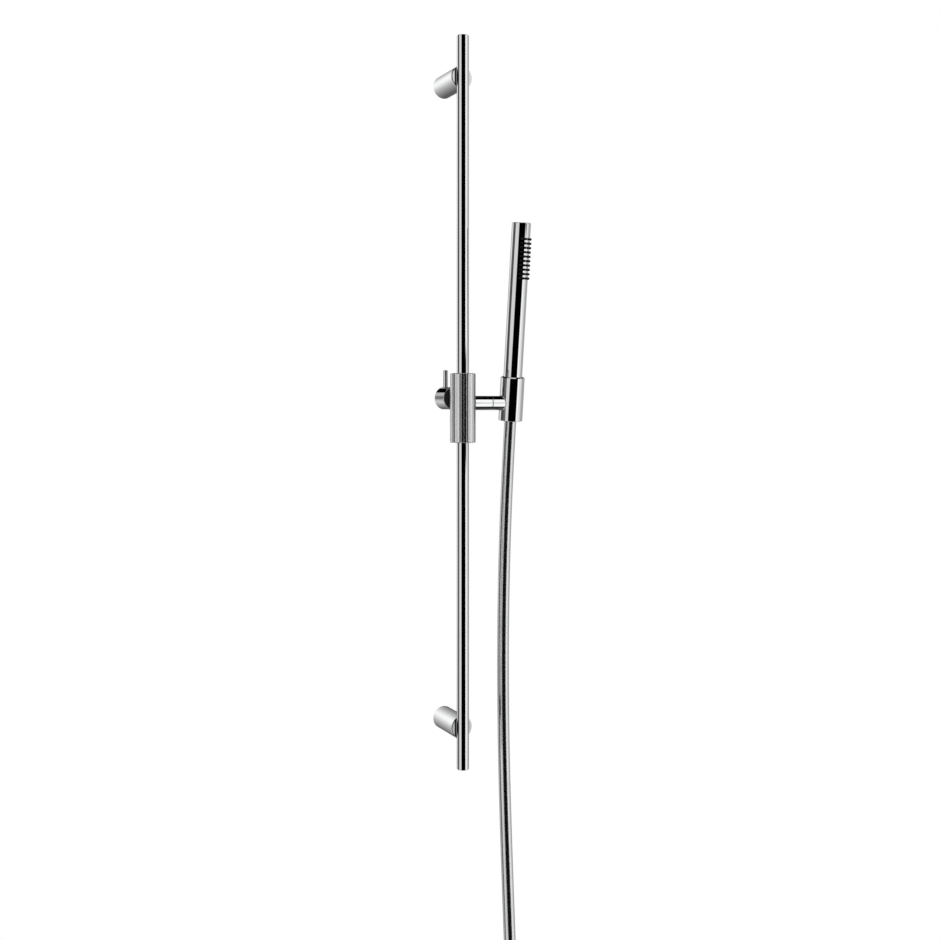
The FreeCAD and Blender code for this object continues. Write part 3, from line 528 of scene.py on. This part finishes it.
@dataclass
class Studio:
    """White surroundings with dark cloths, which polished metal mirrors, and soft lamps.

    Each panel lies over those before it, and all lie over a base of one level.
    """

    base: float = 0.5
    panels: tuple[Panel, ...] = (
        # Boards on the right, falling off towards the wall
        Panel((24.0, 44.0), (-100.0, 100.0), 1.0, 6.0),
        Panel((44.0, 67.0), (-100.0, 100.0), 0.8, 10.0),
        Panel((67.0, 81.0), (-100.0, 100.0), 0.58, 10.0),
        Panel((81.0, 142.0), (-100.0, 100.0), 0.38, 12.0),
        # The room behind the wall's line, lightest at the upper left
        Sweep((142.0, 200.0), (-100.0, 100.0), 0.0, 10.0),
        Sweep((-200.0, -134.0), (-100.0, 100.0), 0.0, 6.0),
        # Left of the wall, above and below a darker line
        Panel((-146.0, -122.0), (3.0, 31.0), 0.47, 4.0),
        Panel((-146.0, -122.0), (-36.0, -4.0), 0.58, 4.0),
        Panel((-165.0, -122.0), (-50.0, -36.0), 0.45, 4.0),
        Panel((-140.0, -120.0), (-4.0, 14.0), 0.28, 6.0),
        # A dark gap and a board on the left, and the dark cloth round the camera
        Panel((-131.0, -98.0), (-26.0, 26.0), 0.045, 9.0),
        Panel((-98.0, -53.0), (-100.0, 100.0), 0.68, 6.0),
        Panel((-53.0, 10.0), (-100.0, 100.0), 0.0, 6.0),
        Panel((0.0, 23.8), (-100.0, 100.0), 0.0, 2.0),
        Panel((20.0, 42.0), (-3.2, 2.6), 0.04, 1.4),
        # The right board's inner edge
        Panel((23.8, 26.8), (3.0, 60.0), 0.64, 1.5),
        Panel((23.8, 26.8), (-60.0, -3.0), 0.46, 1.5),
        # A dark ceiling and floor, each with a lighter middle
        Panel((-200.0, -100.0), (30.5, 100.0), 0.0),
        Panel((100.0, 200.0), (30.5, 100.0), 0.0),
        Panel((-100.0, 100.0), (48.0, 100.0), 0.0),
        Panel((-200.0, 200.0), (-100.0, -50.0), 0.02, 6.0),
        Panel((-100.0, 10.0), (-100.0, -53.0), 0.3, 6.0),
        Panel((-200.0, 200.0), (-100.0, -69.0), 0.4, 6.0),
        Panel((-200.0, 200.0), (69.0, 100.0), 0.6, 6.0),
    )
    hung: tuple[Lamp, ...] = (
        Lamp("soft_left", (-1.2, -1.4, 0.9), 9.0, 65.0),
        Lamp("soft_right", (1.3, -1.1, 0.6), 6.0, 65.0),
        Lamp("soft_overhead", (0.0, -0.6, 1.5), 52.0, 0.0),
    )
    lamp_size: float = 0.9
    second: float = 0.3
    floor_drop: float = 0.36
    floor_half: float = 0.7

    def world(self) -> None:
        """Builds the surroundings.

        A direction gives a turn about the vertical and a height, and each panel's mask mixes its level over what
        lies before it. In a second reflection they are dimmer, and seen directly they are plain white.
        """
        world = bpy.data.worlds.new("studio")
        bpy.context.scene.world = world
        world.use_nodes = True
        tree = world.node_tree
        tree.nodes.clear()
        parts = tree.nodes.new("ShaderNodeSeparateXYZ")
        way = tree.nodes.new("ShaderNodeTexCoord").outputs["Generated"]
        tree.links.new(way, parts.inputs[0])
        out_of_wall = math_node(tree, "MULTIPLY", parts.outputs["Y"], -1.0)
        turn = math_node(tree, "DEGREES", math_node(tree, "ARCTAN2", parts.outputs["X"], out_of_wall))
        height = math_node(tree, "DEGREES", math_node(tree, "ARCSINE", parts.outputs["Z"]))
        mirrored: Input = self.base
        for panel in self.panels:
            mask = math_node(
                tree, "MULTIPLY", self.between(tree, turn, panel.turns, panel.soft),
                self.between(tree, height, panel.heights, panel.soft),
            )
            level = self.swept(tree, way, panel) if isinstance(panel, Sweep) else panel.level
            mirrored = self.over(tree, mask, mirrored, level)
        path = tree.nodes.new("ShaderNodeLightPath")
        again = math_node(tree, "GREATER_THAN", path.outputs["Glossy Depth"], 1.5)
        dimming = math_node(tree, "MULTIPLY_ADD", again, self.second - 1.0, 1.0)
        mirrored = math_node(tree, "MULTIPLY", mirrored, dimming)
        shine = tree.nodes.new("ShaderNodeBackground")
        shine.inputs["Color"].default_value = (1.0, 1.0, 1.0, 1.0)
        tree.links.new(self.over(tree, path.outputs["Is Camera Ray"], mirrored, 1.0), shine.inputs["Strength"])
        end = tree.nodes.new("ShaderNodeOutputWorld")
        tree.links.new(shine.outputs[0], end.inputs["Surface"])

    @staticmethod
    def over(tree: bpy.types.NodeTree, mask: bpy.types.NodeSocket, below: Input, level: Input) -> bpy.types.NodeSocket:
        """Lays one level over another where a mask is 1.

        Args:
            tree: The node tree.
            mask: Where the upper level shows, 0 to 1.
            below: The level that lies below.
            level: The level that lies on top.

        Returns:
            The mixed level's socket.
        """
        node = tree.nodes.new("ShaderNodeMix")
        feed(tree, node.inputs["Factor"], mask)
        feed(tree, node.inputs["A"], below)
        feed(tree, node.inputs["B"], level)
        return node.outputs["Result"]

    @staticmethod
    def swept(tree: bpy.types.NodeTree, way: bpy.types.NodeSocket, sweep: Sweep) -> bpy.types.NodeSocket:
        """Adds the level of a sweep: a direction's share along its line, read from its stops.

        Args:
            tree: The node tree.
            way: The direction looked into.
            sweep: The field.

        Returns:
            The level's socket.
        """
        share = tree.nodes.new("ShaderNodeVectorMath")
        share.operation = "DOT_PRODUCT"
        share.inputs[1].default_value = sweep.line
        tree.links.new(way, share.inputs[0])
        ramp = tree.nodes.new("ShaderNodeValToRGB")
        elements = ramp.color_ramp.elements
        for index, (place, level) in enumerate(sweep.stops):
            stop = elements[index] if index < len(elements) else elements.new(1.0)
            stop.position = place + 0.5
            stop.color = (level, level, level, 1.0)
        tree.links.new(math_node(tree, "ADD", share.outputs["Value"], 0.5), ramp.inputs["Fac"])
        return ramp.outputs["Color"]

    @staticmethod
    def between(
        tree: bpy.types.NodeTree, value: bpy.types.NodeSocket, ends: tuple[float, float], soft: float
    ) -> bpy.types.NodeSocket:
        """Adds a mask that is 1 between two ends and falls to 0 across a soft edge at each.

        Args:
            tree: The node tree.
            value: The value to test.
            ends: Low and high end.
            soft: Width of an edge.

        Returns:
            The mask's socket.
        """
        sides = []
        half = soft / 2
        for start, stop in ((ends[0] - half, ends[0] + half), (ends[1] + half, ends[1] - half)):
            node = tree.nodes.new("ShaderNodeMapRange")
            node.interpolation_type = "SMOOTHSTEP"
            node.inputs["From Min"].default_value = start
            node.inputs["From Max"].default_value = stop
            tree.links.new(value, node.inputs["Value"])
            sides.append(node.outputs["Result"])
        return math_node(tree, "MULTIPLY", *sides)

    def lamps(self) -> None:
        """Hangs soft square lamps in front, at both sides and overhead, for what isn't a mirror."""
        for each in self.hung:
            data = bpy.data.lights.new(each.name, "AREA")
            data.energy = each.watts
            data.size = self.lamp_size
            lamp = bpy.data.objects.new(each.name, data)
            lamp.location = each.place
            lamp.rotation_euler = (math.radians(each.lean), 0.0, math.atan2(each.place[0], -each.place[1]))
            lamp.visible_glossy = False
            lamp.visible_camera = False
            bpy.context.scene.collection.objects.link(lamp)

    def floor(self) -> None:
        """Lays a plain pale floor under the hose's coil, too small to reach into the picture."""
        drop = CAD_BOX[0][2] - self.floor_drop
        steps = np.linspace(-self.floor_half, self.floor_half, 2)
        x, y = np.meshgrid(steps, steps, indexing="ij")
        floor = grid_mesh("floor", np.stack([x, y - RAIL_OUT, np.full_like(x, drop)], axis=-1), False, False)
        material, shader = new_material("pale_floor")
        marks = handling(material, 0.7, 0.1, 6.0)
        tint(material, marks.outputs["Mask"], (0.8, 0.8, 0.8), (0.78, 0.78, 0.78))
        shader.inputs["Specular IOR Level"].default_value = 0.2
        put_on(floor, material)
        floor.visible_glossy = False

    def build(self) -> None:
        """Sets the view transform and builds world, lamps and floor."""
        bpy.context.scene.view_settings.view_transform = "Standard"
        self.world()
        self.lamps()
        self.floor()


# Sub-assemblies


@dataclass
class SubAssembly:
    """Solids that belong together. Each gets the finish of its slot in the record."""

    pieces: tuple[str, ...] = ()

    def dress(self, materials: dict[Slot, bpy.types.Material]) -> None:
        """Gives each solid its finish and reports it.

        Args:
            materials: The finish of each slot.
        """
        for piece in self.pieces:
            material = materials[SLOTS[piece]]
            put_on(frame["nodes"][piece], material)
            log.info("%s: %s", piece, material.name)


@dataclass
class WallRail(SubAssembly):
    """The rail with its ends, posts, spigots and screws."""

    pieces: tuple[str, ...] = (
        "rail_tube", "upper_rail_cap", "lower_rail_cap", "upper_post", "lower_post", "upper_spigot", "lower_spigot",
        "upper_grub_screw", "lower_grub_screw", "upper_rail_screw", "lower_rail_screw", "upper_rail_insert",
        "lower_rail_insert",
    )


@dataclass
class Holder(SubAssembly):
    """The arm, its tilting pivot and the round holder with its seat."""

    pieces: tuple[str, ...] = (
        "arm_stub", "arm_screw", "pivot_screw", "pivot_washer", "holder_cup", "holder_seat", "seat_ring",
    )


@dataclass
class HandShower(SubAssembly):
    """The pencil hand shower with its nozzles and waterway."""

    pieces: tuple[str, ...] = (
        "handset_tube", "handset_cap", "nozzle_strip", "handset_core", "handset_inlet", "inlet_washer",
    )


@dataclass
class Hose(SubAssembly):
    """The smooth hose: it hangs from the holder, and the length out of view is wound up below."""

    pieces: tuple[str, ...] = (
        "hose_cone_nut", "hose_insert", "hose_ferrule", "hose_run", "hose_coil", "coil_tie", "end_ferrule",
        "end_insert", "hose_end_nut", "end_washer",
    )
    diameter: float = 0.015
    tilt: float = 6.8
    pivot: Vec3 = (0.0675, -RAIL_OUT, -0.0008)
    starts: float = 0.008
    straight: float = 0.086
    route: tuple[Vec3, ...] = (
        (0.0675, 0.0192, -0.204),
        (0.0675, 0.0224, -0.309),
        (0.0675, 0.0212, -0.414),
        (0.0675, 0.0162, -0.514),
        (0.0675, 0.0086, -0.618),
        (0.0675, 0.003, -0.688),
        (0.0675, 0.0006, -0.735),
        (0.0893, 0.0002, -0.7778),
        (0.1281, 0.0, -0.806),
        (0.15, 0.0001, -0.8488),
        (0.15, 0.0, -0.8888),
    )
    coil_radius: float = 0.0825
    coil_turns: int = 2
    coil_pitch: float = 0.0155
    coil_points: int = 16
    tail: float = 0.070
    around: int = 32
    length: float = 2.0
    bend_from: float = 0.15
    bend_to: float = 0.03

    def along_axis(self, down: float) -> Vec3:
        """Finds a point on the holder's leaning axis.

        Args:
            down: How far below the pivot it lies.

        Returns:
            The point, in metres.
        """
        lean = math.radians(self.tilt)
        return (self.pivot[0], self.pivot[1] + down * math.sin(lean), self.pivot[2] - down * math.cos(lean))

    def control_points(self) -> np.ndarray:
        """Lists the route's points.

        The coil is a ring of points: its angle runs on evenly from the right side, going down first, and each
        turn moves one pitch away from the wall. A smooth spline cuts inside such points, so they lie outside
        the hose's own circle by that much.

        Returns:
            Array of points by 3, in metres.
        """
        head = np.array([self.along_axis(self.starts), self.along_axis(self.starts + self.straight)])
        hang = np.array(self.route) - np.array([0.0, RAIL_OUT, 0.0])
        step = 2 * math.pi / self.coil_points
        angle = step * np.arange(1, self.coil_points * self.coil_turns)
        reach = self.coil_radius / (0.75 + 0.25 * math.cos(step))
        middle = hang[-1] - np.array([self.coil_radius, 0.0, 0.0])
        ring = middle + np.stack(
            [reach * np.cos(angle), -self.coil_pitch * angle / (2 * math.pi), -reach * np.sin(angle)], axis=-1
        )
        end = hang[-1] - np.array([0.0, self.coil_pitch * self.coil_turns, 0.0])
        tail = np.array([end, end - np.array([0.0, 0.0, 0.5 * self.tail]), end - np.array([0.0, 0.0, self.tail])])
        return np.concatenate([head, hang, ring, tail])

    def line(self) -> np.ndarray:
        """Reads points from one open NURBS spline through the route.

        Returns:
            Array of points by 3, in order from the holder.
        """
        points = self.control_points()
        curve = bpy.data.curves.new("hose_line", "CURVE")
        curve.dimensions = "3D"
        curve.resolution_u = 14
        spline = curve.splines.new("NURBS")
        spline.points.add(len(points) - 1)
        spline.points.foreach_set("co", np.column_stack([points, np.ones(len(points))]).astype(np.float32).ravel())
        spline.order_u = 3
        spline.use_endpoint_u = True
        holder = bpy.data.objects.new("hose_line", curve)
        bpy.context.scene.collection.objects.link(holder)
        bpy.context.view_layer.update()
        mesh = bpy.data.meshes.new_from_object(holder)
        line = np.empty(len(mesh.vertices) * 3, dtype=np.float32)
        mesh.vertices.foreach_get("co", line)
        bpy.data.objects.remove(holder)
        bpy.data.curves.remove(curve)
        bpy.data.meshes.remove(mesh)
        return line.reshape(-1, 3).astype(float)

    def build(self) -> bpy.types.Object:
        """Carries a circle along the spline.

        At each point the circle stands square to the line: one of its axes is the wall's direction made square
        to the line, and the other is square to both.

        Returns:
            The hose's mesh tube.
        """
        line = self.line()
        ahead = np.gradient(line, axis=0)
        ahead /= np.linalg.norm(ahead, axis=1, keepdims=True)
        wall = np.array([0.0, 1.0, 0.0])
        side = wall - ahead * (ahead @ wall)[:, None]
        side /= np.linalg.norm(side, axis=1, keepdims=True)
        other = np.cross(ahead, side)
        angle = np.linspace(0.0, 2 * math.pi, self.around, endpoint=False)
        radius = self.diameter / 2
        circle = side[:, None] * np.cos(angle)[:, None] + other[:, None] * np.sin(angle)[:, None]
        hose = grid_mesh("hose", line[:, None] + radius * circle, False, True)
        hose.data.flip_normals()
        put_on(hose, HOSE_SKIN.material())
        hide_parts("hose_run", "hose_coil")
        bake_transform(hose)
        return hose


@dataclass
class Slider(SubAssembly):
    """The slider with its bushes and clamp. The sleeve has a grid of small raised pads."""

    pieces: tuple[str, ...] = (
        "slider_sleeve", "upper_bush", "lower_bush", "upper_bush_ring", "lower_bush_ring", "clamp_neck", "clamp_knob",
        "clamp_lever", "knob_ring", "knob_washer", "clamp_spindle", "brake_shoe",
    )
    columns: int = 34
    rows: int = 35
    samples: int = 8
    dome: float = 0.00085
    proud: float = 0.00038
    corner: float = 0.001
    seat_radius: float = 0.01205
    seat_depth: float = 0.0192
    bore_radius: float = 0.011
    crisp: float = 0.0001

    def build(self) -> bpy.types.Object:
        """Sets a grid of domes on the sleeve's cylinder, and closes it through the bush seats and the bore.

        The cylinder stands back by the domes' height. With d the distance to the nearest dome's middle along the
        surface, measured in the dome's radius, a dome rises by its height times (1 + cos(pi d)) / 2, held at 0
        from d = 1 on. Near an end the wall curves in by a quarter circle. The inside is a stepped outline turned
        about the axis.

        Returns:
            The sleeve's mesh.
        """
        low, high = (np.array(corner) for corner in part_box("slider_sleeve"))
        axis = np.array([0.0, -RAIL_OUT])
        reach = high[0] - axis[0]
        u = np.arange(self.columns * self.samples) / self.samples
        v = np.linspace(0.0, self.rows, self.rows * self.samples + 1)
        across = (u % 1.0 - 0.5) * 2 * math.pi * reach / self.columns
        along = (v % 1.0 - 0.5) * (high[2] - low[2]) / self.rows
        away = np.hypot(across[None, :], along[:, None]) / self.dome
        rise = self.proud * (1.0 + np.cos(math.pi * np.clip(away, 0.0, 1.0))) / 2
        z = low[2] + (high[2] - low[2]) * v / self.rows
        inside = np.clip(1.0 - np.minimum(z - low[2], high[2] - z) / self.corner, 0.0, 1.0)
        round_off = self.corner * (1.0 - np.sqrt(1.0 - inside**2))
        wall = reach - self.proud + rise - round_off[:, None]
        crisp, seat, bore = self.crisp, self.seat_radius, self.bore_radius
        rim = reach - self.corner - self.proud
        inner = np.array(
            [
                (rim - crisp, 0.0), (seat + crisp, 0.0), (seat, crisp), (seat, self.seat_depth - crisp),
                (seat - crisp, self.seat_depth), (bore + crisp, self.seat_depth), (bore, self.seat_depth + crisp),
            ]
        )
        down = np.column_stack([inner[:, 0], high[2] - inner[:, 1]])
        up = np.column_stack([inner[:, 0], low[2] + inner[:, 1]])[::-1]
        turned = np.concatenate([down, up])
        radius = np.concatenate([wall, np.repeat(turned[:, :1], len(u), axis=1)])
        height = np.concatenate([z, turned[:, 1]])
        angle = 2 * math.pi * u / self.columns
        grid = np.stack(
            [
                axis[0] + radius * np.cos(angle),
                axis[1] + radius * np.sin(angle),
                np.broadcast_to(height[:, None], radius.shape),
            ],
            axis=-1,
        )
        sleeve = grid_mesh("slider_sleeve_knurled", grid, True, True)
        put_on(sleeve, KNURL.material())
        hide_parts("slider_sleeve")
        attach(sleeve, Body.SLIDER.value)
        return sleeve


def main() -> None:
    """Builds camera, hose, light and finishes in order."""
    logging.basicConfig(level=logging.INFO, format="%(name)s %(message)s")
    hose, slider = Hose(), Slider()
    View().build()
    log.info("hose: %s", hose.build().name)
    Studio().build()
    materials = {slot: finish.material() for slot, finish in FINISHES.items()}
    for assembly in (WallRail(), slider, Holder(), HandShower(), hose):
        assembly.dress(materials)
    log.info("sleeve: %s", slider.build().name)


if __name__ == "__main__":
    main()
